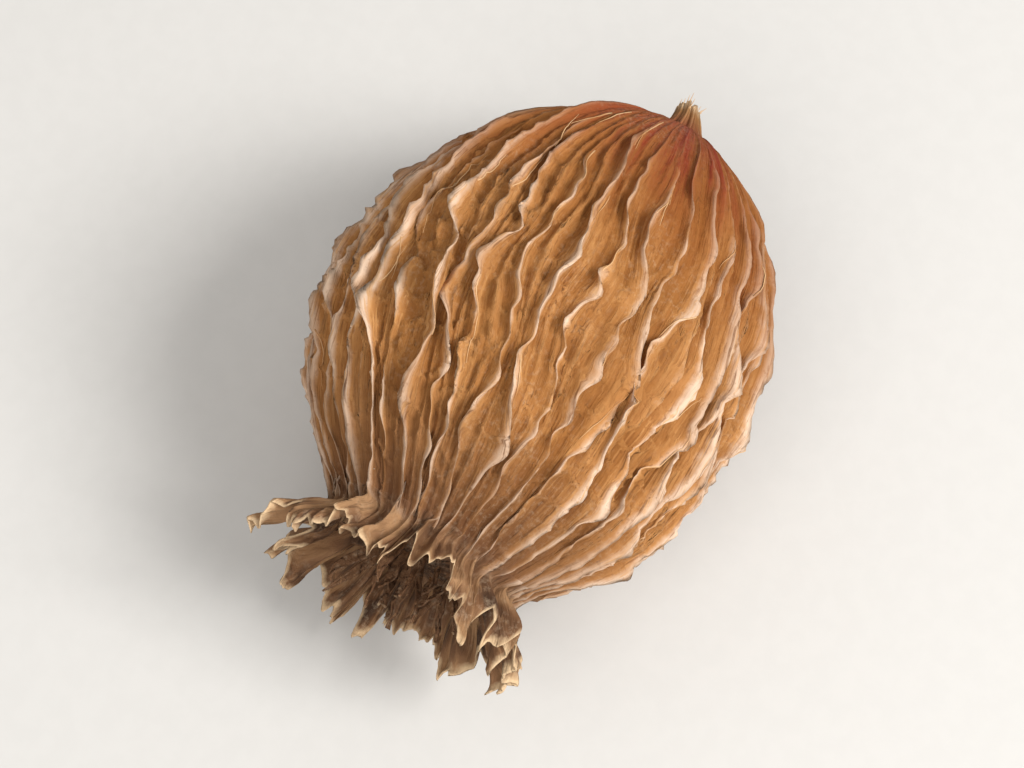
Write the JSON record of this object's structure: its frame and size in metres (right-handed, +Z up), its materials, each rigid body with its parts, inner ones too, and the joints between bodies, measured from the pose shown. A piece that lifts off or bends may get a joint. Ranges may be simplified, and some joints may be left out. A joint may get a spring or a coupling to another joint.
{
  "type": "black cardamom pod",
  "caption": "Dried black cardamom pod: a plump ribbed husk with a stump of stalk at one end and a ragged, pleated dried calyx at the other, lying on its side.",
  "frame": {"origin": "under the middle of the pod's length and width, on the surface that it lies on", "axes": "+X along the pod towards its stalk, +Y across it, +Z up"},
  "size_m": [0.0294, 0.0198, 0.0174],
  "materials": {
    "dried_husk": "matte"
  },
  "bodies": {
    "root": {"cardamom_pod": "dried_husk"}
  },
  "joints": []
}
